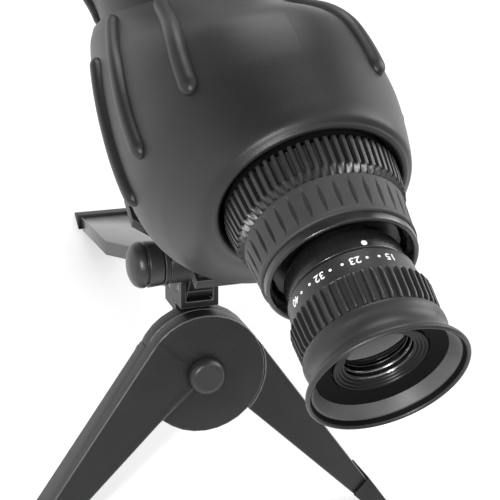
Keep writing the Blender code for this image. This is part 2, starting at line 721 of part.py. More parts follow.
def make_rivet():
    """Domed rivet through both discs and the spine, with a washer behind."""
    back = 2.0 * DISC_WALL + GAP + SPINE_WALL
    outline = ((4.2, 0.0), (3.9, 2.6), (3.1, 5.0), (2.0, 6.4), (GAP, 6.7),
               (GAP, RIVET_RADIUS), (-back - 2.6, RIVET_RADIUS), (-back - 2.6, 0.0))
    mesh = bpy.data.meshes.new("hub_rivet")
    points = [(radius * MM, 0.0, height * MM) for height, radius in outline]
    mesh.from_pydata(points, [(i, i + 1) for i in range(len(points) - 1)], [])
    rivet = new_object("hub_rivet", mesh, parts, surfaces["leg"])
    rivet.parent = hub_frame
    screw = rivet.modifiers.new("turn", 'SCREW')
    screw.steps = COARSE
    screw.render_steps = COARSE
    screw.use_merge_vertices = True
    screw.merge_threshold = 0.00001
    screw.use_smooth_shade = True
    washer = new_object("rivet_washer", cylinder_mesh("rivet_washer", 5.6, 1.4), parts,
                        surfaces["steel"])
    washer.parent = hub_frame
    washer.location = plane_point(0.0, 0.0, back + GAP + 0.7) * MM
    bore = make_cutter("rivet_washer_bore",
                       cylinder_mesh("rivet_washer_bore", RIVET_RADIUS + GAP, 6.0, BORE),
                       hub_frame, plane_point(0.0, 0.0, back + GAP + 0.7))
    add_boolean(washer, bore)


def make_neck():
    """Short neck from the slotted head up to the middle of the tilt barrel."""
    low = hub_to_world(0.0, NECK_PIN_RISE, NECK_PIN_DEPTH) / MM
    high = world_point(0.0, TILT_STATION, TILT_HEIGHT) / MM
    knuckle = cylinder_mesh("neck", BARREL_RADIUS - 0.6, 9.8, FINE)
    neck = new_object("neck", knuckle, parts, surfaces["leg"])
    neck.location = high * MM
    neck.rotation_euler = (0.0, math.pi / 2, 0.0)
    eye = make_cutter("neck_eye", cylinder_mesh("neck_eye", 4.2, 9.2, COARSE), None, low,
                      (0.0, math.pi / 2, 0.0))
    span = high - low
    lean = math.atan2(-span.y, span.z)
    web = make_cutter("neck_web", box_mesh("neck_web", (-4.6, -3.6, 0.0),
                                           (4.6, 3.6, span.length)), None, low,
                      (lean, 0.0, 0.0))
    add_boolean(neck, web, 'UNION')
    add_boolean(neck, eye, 'UNION')
    for label, spot, radius in (("low", low, 1.8), ("high", high, 2.9)):
        bore = make_cutter("neck_bore_" + label, cylinder_mesh("neck_bore", radius, 40.0, BORE),
                           None, spot, (0.0, math.pi / 2, 0.0))
        add_boolean(neck, bore)


def rear_leg_outline():
    """Rear leg seen from above, from its knuckle to its square end."""
    wide = REAR_LEG_HALF_WIDTH
    end = REAR_LEG_LENGTH
    half = ((4.1, 0.0), (4.1, 9.0), (SPINE_HALF_WIDTH, 13.0), (SPINE_HALF_WIDTH, 58.0),
            (wide, 74.0), (wide - 1.0, end))
    return list(half) + [(-x, y) for x, y in reversed(half)]


def make_rear_leg():
    spot = hub_to_world(0.0, REAR_PIN_RISE, REAR_PIN_DEPTH)
    pivot = make_empty("rear_leg_pivot", spot, (REAR_LEG_PITCH, 0.0, 0.0))
    half = REAR_LEG_WALL * 0.5
    leg = new_object("rear_leg", plate_mesh("rear_leg", rear_leg_outline(), -half, half),
                     parts, surfaces["leg"])
    leg.parent = pivot
    knuckle = make_cutter("rear_knuckle", cylinder_mesh("rear_knuckle", 4.2, 8.2), pivot,
                          (0.0, 0.0, 0.0), (0.0, math.pi / 2, 0.0))
    bore = make_cutter("rear_bore", cylinder_mesh("rear_bore", 1.8, 40.0, BORE), pivot,
                       (0.0, 0.0, 0.0), (0.0, math.pi / 2, 0.0))
    add_boolean(leg, knuckle, 'UNION')
    add_boolean(leg, bore)
    add_boolean(leg, ground_under_leg)
    make_rear_foot(pivot)


def make_rear_foot(pivot):
    start = REAR_LEG_LENGTH - 9.0
    end = REAR_LEG_LENGTH + 2.4
    wide = REAR_LEG_HALF_WIDTH + 0.7
    half = REAR_LEG_WALL * 0.5
    foot = new_object("rear_foot", box_mesh("rear_foot", (-wide, start, -half - 1.0),
                                            (wide, end, half + 1.0)),
                      parts, surfaces["foot"])
    foot.parent = pivot
    room = make_cutter("rear_foot_room", box_mesh("rear_foot_room",
                                                  (-wide + 0.9, 0.0, -half - GAP),
                                                  (wide - 0.9, REAR_LEG_LENGTH + GAP, half + GAP)),
                       pivot)
    add_boolean(room, sole)
    add_boolean(foot, room)
    add_boolean(foot, ground)


clear_scene()
parts = make_collection(SCOPE)
cutters = make_collection("cutters")
surfaces = make_surfaces()
hub_frame = make_empty("hub_frame", world_point(0.0, HUB_STATION, HUB_HEIGHT),
                       (HUB_LEAN, 0.0, 0.0))
bpy.context.view_layer.update()
ground = make_cutter("ground", box_mesh("ground", (-200, -200, -60), (200, 200, 0)))
ground_under_leg = make_cutter("ground_under_leg",
                               box_mesh("ground_under_leg", (-200, -200, -60),
                                        (200, 200, SOLE_WALL + GAP)))
sole = make_cutter("sole", box_mesh("sole", (-200, -200, -70), (200, 200, SOLE_WALL)))

make_eyecup()
make_zoom_ring()
make_eyepiece_body()
make_zoom_groups()
make_focus_ring()
make_focus_thread()
make_rear_armour()
make_prism_housing()
make_objective_barrel()
make_objective()
make_prisms()
make_prism_clips()
make_mount_foot()
make_head_plate()
make_camera_screw()
make_tilt_pieces()
for leg_side in (-1, 1):
    make_front_leg(leg_side)
make_hub_block()
make_rivet()
make_neck()
make_rear_leg()
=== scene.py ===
import json
from math import cos, pi, radians, sin, sqrt, tau

import bmesh
import bpy
from mathutils import Matrix, Vector


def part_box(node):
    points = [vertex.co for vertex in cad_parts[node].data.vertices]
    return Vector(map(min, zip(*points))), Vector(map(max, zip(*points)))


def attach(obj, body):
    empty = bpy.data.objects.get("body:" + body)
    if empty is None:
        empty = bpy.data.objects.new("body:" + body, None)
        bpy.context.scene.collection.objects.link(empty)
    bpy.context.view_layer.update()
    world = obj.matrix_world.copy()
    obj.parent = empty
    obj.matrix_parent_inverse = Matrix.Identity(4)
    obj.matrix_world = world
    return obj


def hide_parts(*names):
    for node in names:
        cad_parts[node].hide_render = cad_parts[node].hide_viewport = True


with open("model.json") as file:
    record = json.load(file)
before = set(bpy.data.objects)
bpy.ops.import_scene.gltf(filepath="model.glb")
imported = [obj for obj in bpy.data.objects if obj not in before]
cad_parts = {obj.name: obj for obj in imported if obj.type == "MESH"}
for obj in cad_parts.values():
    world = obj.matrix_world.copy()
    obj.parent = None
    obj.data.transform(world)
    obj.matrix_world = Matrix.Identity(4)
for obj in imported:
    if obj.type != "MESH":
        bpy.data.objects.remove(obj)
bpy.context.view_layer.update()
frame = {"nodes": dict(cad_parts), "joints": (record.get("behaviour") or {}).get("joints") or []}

mm = 0.001
alongY = Vector((0, 1, 0))
alongX = Vector((1, 0, 0))
upward = Vector((0, 0, 1))


def middle(node):
    low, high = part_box(node)
    return (low + high) / 2


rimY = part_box("eyecup")[0].y              # everything is measured from the eyecup's rim
eyeZ = middle("eyecup").z
glassZ = middle("front_bezel").z
eyeLine = Vector((0, rimY, eyeZ))
glassLine = Vector((0, rimY, glassZ))
tiltLine = Vector((0, middle("tilt_knob").y, middle("tilt_knob").z))


def place(x, station, height):
    return eyeLine + Vector((x, station, height)) * mm


# materials: all read Object coordinates

def addNode(tree, kind, **inputs):
    node = tree.nodes.new(kind)
    for label, value in inputs.items():
        node.inputs[label.replace("_", " ")].default_value = value
    return node


def mapRange(tree, source, low, high, fromLow=0.0, fromHigh=1.0):
    node = addNode(tree, "ShaderNodeMapRange")
    for label, value in (("From Min", fromLow), ("From Max", fromHigh), ("To Min", low), ("To Max", high)):
        node.inputs[label].default_value = value
    tree.links.new(source, node.inputs["Value"])
    return node.outputs["Result"]


def moulded(name, look):
    # moulded rubber or plastic: mottled colour, grain in gloss and height, rubbed patches
    material = bpy.data.materials.new(name)
    material.use_nodes = True
    tree = material.node_tree
    shader = tree.nodes["Principled BSDF"]
    shader.inputs["Metallic"].default_value = look.get("metal", 0.0)
    shader.inputs["Specular IOR Level"].default_value = look.get("specular", 0.5)
    shader.inputs["Sheen Weight"].default_value = look.get("sheen", 0.0)
    shader.inputs["Sheen Roughness"].default_value = 0.45
    shader.inputs["Coat Weight"].default_value = look.get("coat", 0.0)
    shader.inputs["Coat Roughness"].default_value = 0.25
    coords = addNode(tree, "ShaderNodeTexCoord").outputs["Object"]
    stretch = addNode(tree, "ShaderNodeMapping")
    stretch.inputs["Scale"].default_value = look.get("stretch", (1, 1, 1))
    tree.links.new(coords, stretch.inputs["Vector"])
    blotch = addNode(tree, "ShaderNodeTexNoise", Scale=look.get("blotch", 60.0), Detail=5.0, Roughness=0.6)
    grain = addNode(tree, "ShaderNodeTexNoise", Scale=look["grain"], Detail=4.0, Roughness=0.65)
    pits = addNode(tree, "ShaderNodeTexVoronoi", Scale=look["grain"] * 0.8)
    tree.links.new(coords, blotch.inputs["Vector"])
    for node in (grain, pits):
        tree.links.new(stretch.outputs["Vector"], node.inputs["Vector"])
    tint = addNode(tree, "ShaderNodeMix")
    tint.data_type = "RGBA"
    tint.inputs[6].default_value = (*look["colour"], 1)
    tint.inputs[7].default_value = (*[part * look.get("fade", 1.5) for part in look["colour"]], 1)
    spread = mapRange(tree, blotch.outputs["Fac"], 0.0, 1.0, 0.35, 0.7)
    tree.links.new(spread, tint.inputs["Factor"])
    speck = addNode(tree, "ShaderNodeMix")                 # pale dust in the grain
    speck.data_type = "RGBA"
    speck.inputs[7].default_value = (*[min(1, part * 2.2 + 0.004) for part in look["colour"]], 1)
    tree.links.new(tint.outputs[2], speck.inputs[6])
    dust = mapRange(tree, grain.outputs["Fac"], 0.0, look.get("speck", 0.35), 0.52, 0.8)
    tree.links.new(dust, speck.inputs["Factor"])
    tree.links.new(speck.outputs[2], shader.inputs["Base Color"])
    low, high = look["rough"]
    uneven = addNode(tree, "ShaderNodeMath")
    uneven.operation = "ADD"
    tree.links.new(mapRange(tree, grain.outputs["Fac"], low, high), uneven.inputs[0])
    tree.links.new(mapRange(tree, blotch.outputs["Fac"], -0.05, 0.07), uneven.inputs[1])
    tree.links.new(uneven.outputs[0], shader.inputs["Roughness"])
    height = addNode(tree, "ShaderNodeMath")
    height.operation = "MULTIPLY_ADD"
    height.inputs[1].default_value = look.get("pits", 0.6)
    tree.links.new(pits.outputs["Distance"], height.inputs[0])
    tree.links.new(grain.outputs["Fac"], height.inputs[2])
    bump = addNode(tree, "ShaderNodeBump", Strength=look.get("bump", 0.35), Distance=look.get("depth", 0.00012))
    tree.links.new(height.outputs[0], bump.inputs["Height"])
    tree.links.new(bump.outputs["Normal"], shader.inputs["Normal"])
    return material


def opticalGlass(name, colour, film):
    material = bpy.data.materials.new(name)
    material.use_nodes = True
    tree = material.node_tree
    shader = tree.nodes["Principled BSDF"]
    shader.inputs["Base Color"].default_value = (*colour, 1)
    shader.inputs["Transmission Weight"].default_value = 1.0
    shader.inputs["IOR"].default_value = 1.6
    shader.inputs["Thin Film Thickness"].default_value = film      # the bloom of the coating
    shader.inputs["Thin Film IOR"].default_value = 1.38
    coords = addNode(tree, "ShaderNodeTexCoord").outputs["Object"]
    smear = addNode(tree, "ShaderNodeTexNoise", Scale=140.0, Detail=3.0)
    tree.links.new(coords, smear.inputs["Vector"])
    tree.links.new(mapRange(tree, smear.outputs["Fac"], 0.0, 0.045, 0.4, 0.9), shader.inputs["Roughness"])
    return material


finishes = {
    "armour": {"colour": (0.0065, 0.0065, 0.0067), "rough": (0.36, 0.48), "grain": 2600.0, "bump": 0.24,
               "blotch": 45.0, "specular": 0.46},
    "softRubber": {"colour": (0.023, 0.023, 0.0235), "rough": (0.50, 0.62), "grain": 1900.0, "sheen": 0.05,
                   "bump": 0.22, "blotch": 80.0},
    # the eyecup's inner band: a lighter colour than the cup rubber, a painted highlight for its lit inner wall
    "litBandRubber": {"colour": (0.055, 0.055, 0.056), "rough": (0.40, 0.52), "grain": 2000.0, "bump": 0.22,
                   "blotch": 90.0, "sheen": 0.05},
    "cupRubber": {"colour": (0.011, 0.011, 0.0112), "rough": (0.36, 0.48), "grain": 2100.0, "sheen": 0.02,
                  "bump": 0.18, "blotch": 70.0, "stretch": (1, 0.35, 1)},
    "ringPlastic": {"colour": (0.015, 0.015, 0.0153), "rough": (0.30, 0.42), "grain": 2400.0, "bump": 0.20,
                    "blotch": 110.0, "specular": 0.6},
    "glossRim": {"colour": (0.008, 0.008, 0.0082), "rough": (0.20, 0.32), "grain": 1500.0, "bump": 0.12,
                 "blotch": 120.0, "coat": 0.25, "stretch": (0.3, 1, 0.3)},
    "legPlastic": {"colour": (0.0045, 0.0045, 0.0047), "rough": (0.38, 0.52), "grain": 1500.0, "bump": 0.55,
                   "blotch": 60.0, "depth": 0.00016, "speck": 0.5},
    # the rear leg's own copy of the leg plastic: a slightly lighter colour, painted light for the light the
    # rear leg catches, and glossier
    "rearLegLitPlastic": {"colour": (0.006, 0.006, 0.0062), "rough": (0.17, 0.27), "grain": 1500.0, "bump": 0.12,
                       "blotch": 60.0, "specular": 0.9},
    # the rounded-edge finish: lighter than the leg plastic, partly rubbed wear and partly a painted highlight
    # line along the edges
    "wornEdgeAndHighlight": {"colour": (0.085, 0.085, 0.087), "rough": (0.28, 0.38), "grain": 1200.0, "bump": 0.15,
                 "specular": 0.6},
    "footRubber": {"colour": (0.008, 0.008, 0.008), "rough": (0.58, 0.72), "grain": 1300.0, "bump": 0.5,
                   "blotch": 90.0, "sheen": 0.03},
    "anodised": {"colour": (0.030, 0.030, 0.032), "rough": (0.25, 0.38), "grain": 900.0, "bump": 0.15,
                 "metal": 0.8, "stretch": (0.2, 1, 0.2)},
    "polishedEdge": {"colour": (0.30, 0.30, 0.31), "rough": (0.18, 0.30), "grain": 1200.0, "bump": 0.1,
                     "metal": 1.0, "fade": 1.2, "speck": 0.1},
    "steel": {"colour": (0.19, 0.19, 0.195), "rough": (0.22, 0.36), "grain": 1200.0, "bump": 0.2, "metal": 1.0,
              "fade": 1.15, "speck": 0.1},
    "brassInsert": {"colour": (0.62, 0.43, 0.18), "rough": (0.22, 0.34), "grain": 1000.0, "bump": 0.2,
                    "metal": 1.0, "fade": 1.2, "speck": 0.1},
    "baffleBlack": {"colour": (0.002, 0.002, 0.002), "rough": (0.60, 0.75), "grain": 1500.0, "bump": 0.3,
                    "specular": 0.10},
    "lensRingBlack": {"colour": (0.003, 0.003, 0.003), "rough": (0.30, 0.42), "grain": 1800.0, "bump": 0.1,
                      "specular": 0.25},
    "dialPaint": {"colour": (0.78, 0.78, 0.76), "rough": (0.45, 0.60), "grain": 1800.0, "bump": 0.15,
                  "fade": 1.06, "speck": 0.0},
}
paint = {name: moulded(name, look) for name, look in finishes.items()}
# the eyepiece and inner glass is tinted near black: painted shade for the dark inside of the scope
paint["shadeTintedGlass"] = opticalGlass("shadeTintedGlass", (0.05, 0.052, 0.055), 0.0)
paint["objectiveGlass"] = opticalGlass("objectiveGlass", (0.30, 0.36, 0.37), 118.0)
print("materials:", len(paint))


# mesh helpers

def newPiece(name, form, material, angle=38.0, weld=True):
    if weld:
        bmesh.ops.remove_doubles(form, verts=form.verts, dist=0.000004)
    bmesh.ops.recalc_face_normals(form, faces=form.faces)
    mesh = bpy.data.meshes.new(name)
    form.to_mesh(mesh)
    form.free()
    mesh.materials.append(paint[material])
    return meshPiece(name, mesh, angle)


def meshPiece(name, mesh, angle=38.0):
    mesh.shade_smooth()
    mesh.set_sharp_from_angle(angle=radians(angle))
    piece = bpy.data.objects.new(name, mesh)
    bpy.context.scene.collection.objects.link(piece)
    return piece


def settle(piece, body, slotName=None, *nodes):
    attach(piece, body)
    if nodes:
        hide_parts(*nodes)
    return piece


def rounded(outline, closed=True, steps=4):
    # outline points are (along, radius, fillet); each fillet becomes a short arc
    points = []
    count = len(outline)
    for i, (along, radius, fillet) in enumerate(outline):
        here = Vector((along, radius))
        if fillet <= 0 or (not closed and i in (0, count - 1)):
            points.append(here)
            continue
        before = Vector(outline[i - 1][:2]) - here
        after = Vector(outline[(i + 1) % count][:2]) - here
        cut = min(fillet, before.length * 0.48, after.length * 0.48)
        start = here + before.normalized() * cut
        end = here + after.normalized() * cut
        for j in range(steps + 1):
            t = j / steps
            points.append(start * (1 - t) ** 2 + here * 2 * t * (1 - t) + end * t * t)
    return points


def turned(name, outline, line, material, axis=alongY, sides=144, closed=True):
    # turn an outline round a line; lengths in millimetres
    points = rounded(outline, closed)
    side = upward if abs(axis.z) < 0.7 else alongX
    side = (side - axis * side.dot(axis)).normalized()
    other = side.cross(axis)
    turns = [tau * i / sides for i in range(sides)]
    form = bmesh.new()
    rows = []
    for along, radius in points:
        hub = line + axis * along * mm
        if radius < 0.0005:
            rows.append([form.verts.new(hub)] * sides)
            continue
        rows.append([form.verts.new(hub + (side * cos(a) + other * sin(a)) * radius * mm) for a in turns])
    pairs = list(zip(rows, rows[1:]))
    if closed:
        pairs.append((rows[-1], rows[0]))
    for row, following in pairs:
        for i in range(sides):
            k = (i + 1) % sides
            corners = []
            for vert in (row[i], row[k], following[k], following[i]):
                if vert not in corners:
                    corners.append(vert)
            if len(corners) > 2:
                form.faces.new(corners)
    return newPiece(name, form, material)


def softened(node, name, width, material, edgeFinish="wornEdgeAndHighlight", clamp=True, weld=0.00001, sliver=0.0):
    # a carried-over shape with its edges rounded, but not those of faces narrower than sliver
    form = bmesh.new()
    form.from_mesh(frame["nodes"][node].data)
    bmesh.ops.remove_doubles(form, verts=form.verts, dist=weld)
    bmesh.ops.dissolve_limit(form, angle_limit=radians(1.5), verts=form.verts, edges=form.edges)
    narrow = set(face for face in form.faces
                 if face.calc_area() < sliver * mm * max(edge.calc_length() for edge in face.edges))
    edges = [edge for edge in form.edges
             if len(edge.link_faces) == 2 and edge.calc_face_angle(0.0) > radians(28.0)
             and not narrow.intersection(edge.link_faces)]
    bevel = bmesh.ops.bevel(form, geom=edges, offset=width * mm, segments=3, profile=0.5,
                            affect="EDGES", clamp_overlap=clamp, material=1)
    for face in bevel["faces"]:
        face.material_index = 1
    piece = newPiece(name, form, material, 32.0)
    piece.data.materials.append(paint[edgeFinish])              # the rounded edges are painted brighter: rubbed wear and a painted highlight line
    return piece


# geometry node trees

def newTree(name, sockets):
    tree = bpy.data.node_groups.new(name, "GeometryNodeTree")
    for label, kind in (("Geometry", "NodeSocketGeometry"), *sockets):
        tree.interface.new_socket(label, in_out="INPUT", socket_type=kind)
    tree.interface.new_socket("Geometry", in_out="OUTPUT", socket_type="NodeSocketGeometry")
    return tree, tree.nodes.new("NodeGroupInput"), tree.nodes.new("NodeGroupOutput")


def mathNode(tree, operation, first, second):
    node = tree.nodes.new("ShaderNodeMath")
    node.operation = operation
    for socket, value in zip(node.inputs, (first, second)):
        if isinstance(value, (int, float)):
            socket.default_value = value
        else:
            tree.links.new(value, socket)
    return node.outputs[0]


def vectorNode(tree, operation, first, second):
    node = tree.nodes.new("ShaderNodeVectorMath")
    node.operation = operation
    tree.links.new(first, node.inputs[0])
    if isinstance(second, (int, float)):
        node.inputs["Scale"].default_value = second
    else:
        tree.links.new(second, node.inputs["Scale" if operation == "SCALE" else 1])
    return node.outputs[0]


def repeatAroundTree():
    # copies one sector about a line: Count copies, Step radians apart, leaving out every Skip-th
    tree, given, result = newTree("repeatAround", (
        ("Count", "NodeSocketInt"), ("Step", "NodeSocketFloat"), ("Skip", "NodeSocketInt"),
        ("Centre", "NodeSocketVector"), ("Axis", "NodeSocketVector"), ("Material", "NodeSocketMaterial")))
    links = tree.links
    points = tree.nodes.new("GeometryNodePoints")
    links.new(given.outputs["Count"], points.inputs["Count"])
    links.new(given.outputs["Centre"], points.inputs["Position"])
    index = tree.nodes.new("GeometryNodeInputIndex").outputs[0]
    left = mathNode(tree, "MODULO", index, given.outputs["Skip"])
    everyOne = mathNode(tree, "SUBTRACT", 1.0, given.outputs["Skip"])      # a Skip of 0 keeps them all
    keep = mathNode(tree, "GREATER_THAN", mathNode(tree, "MAXIMUM", left, everyOne), 0.5)
    back = tree.nodes.new("GeometryNodeTransform")
    links.new(given.outputs["Geometry"], back.inputs["Geometry"])
    links.new(vectorNode(tree, "SCALE", given.outputs["Centre"], -1.0), back.inputs["Translation"])
    rotate = tree.nodes.new("FunctionNodeAxisAngleToRotation")
    links.new(given.outputs["Axis"], rotate.inputs["Axis"])
    links.new(mathNode(tree, "MULTIPLY", index, given.outputs["Step"]), rotate.inputs["Angle"])
    copies = tree.nodes.new("GeometryNodeInstanceOnPoints")
    links.new(points.outputs[0], copies.inputs["Points"])
    links.new(back.outputs[0], copies.inputs["Instance"])
    links.new(rotate.outputs[0], copies.inputs["Rotation"])
    links.new(keep, copies.inputs["Selection"])
    real = tree.nodes.new("GeometryNodeRealizeInstances")
    links.new(copies.outputs[0], real.inputs[0])
    coat = tree.nodes.new("GeometryNodeSetMaterial")
    links.new(real.outputs[0], coat.inputs["Geometry"])
    links.new(given.outputs["Material"], coat.inputs["Material"])
    links.new(coat.outputs[0], result.inputs[0])
    return tree


def raisedTree():
    # lays a strip on a shell and lifts it along the shell's normal by its own rise
    tree, given, result = newTree("raisedOnShell", (
        ("Shell", "NodeSocketObject"), ("Height", "NodeSocketFloat"), ("Material", "NodeSocketMaterial")))
    links = tree.links
    shell = tree.nodes.new("GeometryNodeObjectInfo")
    links.new(given.outputs["Shell"], shell.inputs["Object"])
    found = []
    for kind in ("GeometryNodeInputPosition", "GeometryNodeInputNormal"):
        sample = tree.nodes.new("GeometryNodeSampleNearestSurface")
        sample.data_type = "FLOAT_VECTOR"
        links.new(shell.outputs["Geometry"], sample.inputs["Mesh"])
        links.new(tree.nodes.new(kind).outputs[0], sample.inputs["Value"])
        found.append(sample.outputs["Value"])
    rise = tree.nodes.new("GeometryNodeInputNamedAttribute")
    rise.data_type = "FLOAT"
    rise.inputs["Name"].default_value = "rise"
    lift = mathNode(tree, "MULTIPLY", rise.outputs["Attribute"], given.outputs["Height"])
    lifted = vectorNode(tree, "ADD", found[0], vectorNode(tree, "SCALE", found[1], lift))
    move = tree.nodes.new("GeometryNodeSetPosition")
    links.new(given.outputs["Geometry"], move.inputs["Geometry"])
    links.new(lifted, move.inputs["Position"])
    real = tree.nodes.new("GeometryNodeRealizeInstances")
    links.new(move.outputs[0], real.inputs[0])
    coat = tree.nodes.new("GeometryNodeSetMaterial")
    links.new(real.outputs[0], coat.inputs["Geometry"])
    links.new(given.outputs["Material"], coat.inputs["Material"])
    links.new(coat.outputs[0], result.inputs[0])
    return tree


repeatAround = repeatAroundTree()
raisedOnShell = raisedTree()


def runTree(piece, tree, values, angle=38.0):
    # gives the tree its values, keeps its result as a plain mesh and welds the seams
    step = piece.modifiers.new(tree.name, "NODES")
    step.node_group = tree
    for item in tree.interface.items_tree:
        if item.item_type == "SOCKET" and item.in_out == "INPUT" and item.name in values:
            step[item.identifier] = values[item.name]
    graph = bpy.context.evaluated_depsgraph_get()
    made = bpy.data.meshes.new_from_object(piece.evaluated_get(graph), depsgraph=graph)
    piece.modifiers.remove(step)
    form = bmesh.new()
    form.from_mesh(made)
    bmesh.ops.remove_doubles(form, verts=form.verts, dist=0.000006)
    bmesh.ops.recalc_face_normals(form, faces=form.faces)
    form.to_mesh(made)
    form.free()
    piece.data = made
    made.shade_smooth()
    made.set_sharp_from_angle(angle=radians(angle))
    return piece


def sectorRing(name, outline, count, columns, shape, material):
    # one sector of a closed ring, shaped by shape(u, station, radius), then copied round
    points = rounded(outline, True, 3)
    form = bmesh.new()
    rows = []
    for u in columns:
        row = []
        for station, radius in points:
            v, along, out = shape(u, station, radius)
            a = tau / count * (v - 0.5)
            row.append(form.verts.new(eyeLine + Vector((out * sin(a), along, out * cos(a))) * mm))
        rows.append(row)
    for row, following in zip(rows, rows[1:]):
        for i in range(len(points)):
            k = (i + 1) % len(points)
            form.faces.new((row[i], row[k], following[k], following[i]))
    piece = newPiece(name, form, material)
    return runTree(piece, repeatAround, {"Count": count, "Step": tau / count, "Skip": 0, "Centre": eyeLine,
                                         "Axis": alongY, "Material": paint[material]}, 30.0)


def easeStep(value, low, high):
    t = min(1.0, max(0.0, (value - low) / (high - low)))
    return t * t * (3 - 2 * t)


# eyepiece

eyecup = {"lipRadius": 20.45, "waist": 17.55, "bulge": 18.2, "length": 11.3, "bandRear": 2.1,
          "bandFront": 5.4, "bandInner": 16.5, "bandOuter": 18.2}
zoomRing = {"ribs": 50, "depth": 0.95, "ribShare": 0.26, "rear": 17.75, "front": 18.25}
dial = {"numbers": ("15", "23", "32", "40"), "first": 16.0, "spacing": 31.7, "size": 2.95, "station": 24.3,
        "dotRadius": 0.42, "indexDot": 0.8, "indexStation": 29.6}


def makeEyecup():
    c = eyecup
    outline = (
        (0.25, 19.9, 0.5), (0.9, c["lipRadius"], 0.8), (1.9, 20.2, 0.9), (4.6, 17.9, 2.6),
        (7.2, c["waist"], 1.8), (9.3, c["bulge"], 1.6), (c["length"] - 0.1, c["bulge"] - 0.15, 0.7),
        (c["length"], 15.0, 0.3),
        (7.0, 15.0, 0.3), (c["bandFront"] + 0.2, 16.5, 0.2), (c["bandFront"], c["bandInner"] + 0.6, 0.2),
        (c["bandRear"], 18.95, 0.1), (0.6, 19.35, 0.4))
    cup = turned("eyecupRubber", outline, eyeLine, "cupRubber", sides=192)
    settle(cup, "zoom", "soft_rubber", "eyecup")
    # a black ring just inside the lip: painted shade for the dark gap behind the lip
    shadeFlange = ((0.95, 19.3, 0.1), (0.95, 19.05, 0.1), (2.2, 18.7, 0), (2.2, 19.1, 0))
    settle(turned("eyecupFlange", shadeFlange, eyeLine, "baffleBlack", sides=160), "zoom", "soft_rubber")
    rear, front, inner, outer = c["bandRear"], c["bandFront"], c["bandInner"], c["bandOuter"]
    # the inner band wears the lighter band rubber, a painted highlight
    band = ((rear, 18.9, 0), (rear, outer, 0.15), (front, inner, 0.15), (front, inner + 0.45, 0),
            (rear + 0.6, 18.8, 0))
    settle(turned("eyecupBand", band, eyeLine, "litBandRubber", sides=192), "zoom", "soft_rubber")
    cone = ((front - 0.2, inner + 0.05, 0.1), (front - 0.2, inner - 0.3, 0.1), (6.5, 12.9, 0.1),
            (6.5, 12.3, 0.1), (7.2, 12.2, 0), (7.0, 14.9, 0), (front + 0.3, inner - 0.1, 0))
    settle(turned("eyecupCone", cone, eyeLine, "baffleBlack", sides=160), "zoom", "soft_rubber")


def makeZoomRing():
    z = zoomRing
    low, high = (11.6, 20.5)
    share = z["ribShare"]

    def ribbed(u, station, radius):
        if radius < 16.2:
            return u, station, radius
        away = abs(u - 0.5) * 2
        cut = easeStep(away, share, share + 0.16)
        ends = min(easeStep(station, low - 0.2, low + 0.9), 1 - easeStep(station, high - 0.8, high + 0.25))
        crown = 0.10 * (1 - (away / share) ** 2) if away < share else 0.0
        return u, station, radius - z["depth"] * cut + crown * ends - 0.35 * (1 - ends) * (1 - cut)

    outer = [(low + (high - low) * i / 8, z["rear"] + (z["front"] - z["rear"]) * i / 8, 0) for i in range(9)]
    outline = [(low, z["rear"] - 1.0, 0), *outer, (high, z["front"] - 1.1, 0), (high, 14.9, 0), (low, 14.9, 0)]
    columns = [0, 0.14, 0.25, 0.29, 0.33, 0.37, 0.43, 0.5, 0.57, 0.63, 0.67, 0.71, 0.75, 0.86, 1]
    ring = sectorRing("zoomRibs", outline, z["ribs"], columns, ribbed, "ringPlastic")
    settle(ring, "zoom", "ring_plastic", "zoom_grip")


def wrapOnDial(mesh, angle, station, radiusAt):
    # bend flat lettering round the dial: its top points to the eyecup
    for vert in mesh.vertices:
        x, y, z = vert.co
        along = station - y
        radius = radiusAt(along) + z
        a = radians(angle) - x / radiusAt(along)
        vert.co = eyeLine + Vector((radius * sin(a), along, radius * cos(a))) * mm


def makeDial():
    d = dial
    rear, front = 17.0, 16.55
    outline = ((20.75, rear - 0.2, 0.3), (21.1, rear, 0.4), (27.2, front, 0.5), (27.8, front - 0.5, 0.2),
               (27.8, 14.9, 0), (20.75, 14.9, 0))
    ring = turned("dialRing", outline, eyeLine, "ringPlastic", sides=192)
    settle(ring, "zoom", "ring_plastic", "zoom_dial")

    def surfaceAt(station):
        return rear + (front - rear) * (station - 21.1) / 6.1

    for i, number in enumerate(d["numbers"]):
        words = bpy.data.curves.new("number", "FONT")
        words.body = number
        words.size = d["size"]
        words.align_x = "CENTER"
        words.align_y = "CENTER"
        words.extrude = 0.05
        words.offset = 0.045
        holder = bpy.data.objects.new("number", words)
        bpy.context.scene.collection.objects.link(holder)
        graph = bpy.context.evaluated_depsgraph_get()
        mesh = bpy.data.meshes.new_from_object(holder.evaluated_get(graph), depsgraph=graph)
        bpy.data.objects.remove(holder)
        wrapOnDial(mesh, d["first"] - d["spacing"] * i, d["station"], surfaceAt)
        form = bmesh.new()
        form.from_mesh(mesh)
        settle(newPiece("dialNumber" + number, form, "dialPaint"), "zoom")
    outline = ((0, 0, 0), (0, d["dotRadius"], 0), (0.08, d["dotRadius"] - 0.06, 0), (0.08, 0, 0))
    dot = turned("dialDots", outline,
                 place(0, d["station"], surfaceAt(d["station"]) - 0.03), "dialPaint", upward, 16, False)
    dot.data.transform(Matrix.Translation(eyeLine) @ Matrix.Rotation(radians(d["first"]), 4, "Y")
                       @ Matrix.Translation(-eyeLine))
    runTree(dot, repeatAround, {"Count": 10, "Step": radians(-d["spacing"] / 3), "Skip": 3, "Centre": eyeLine,
                                "Axis": alongY, "Material": paint["dialPaint"]})
    settle(dot, "zoom")


